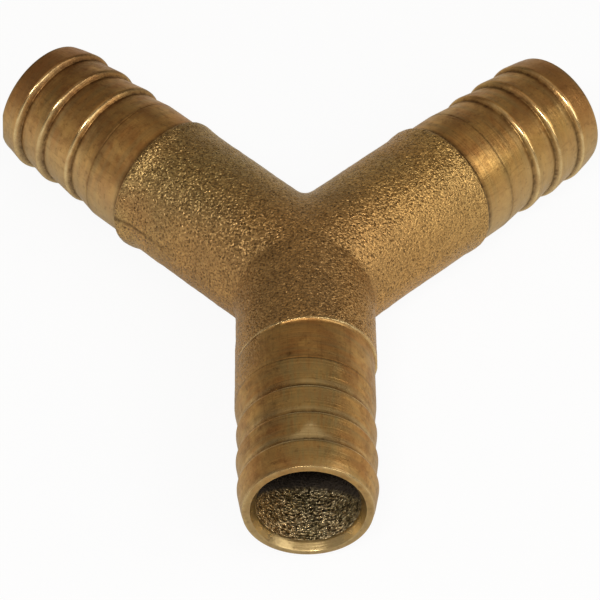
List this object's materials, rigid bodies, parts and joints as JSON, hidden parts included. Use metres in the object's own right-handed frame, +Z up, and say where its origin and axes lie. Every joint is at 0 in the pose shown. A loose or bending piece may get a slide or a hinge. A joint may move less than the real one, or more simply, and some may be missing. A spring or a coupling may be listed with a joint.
{
  "type": "hose connector",
  "caption": "Cast brass Y hose connector with a straight stem and a right-angled fork of branches, each ending in a turned, barbed hose tail with an open, countersunk bore.",
  "frame": {"origin": "where the axes of the stem and the branches meet, which is the middle of the part's box", "axes": "+Y away from the stem's mouth and through the middle of the fork, +Z up from the surface the connector lies on"},
  "size_m": [0.1194, 0.1199, 0.0278],
  "materials": {
    "brass": "sand-cast skin with turned satin tails, aged to a golden brown"
  },
  "bodies": {
    "root": {"y_body": "brass"}
  },
  "joints": []
}
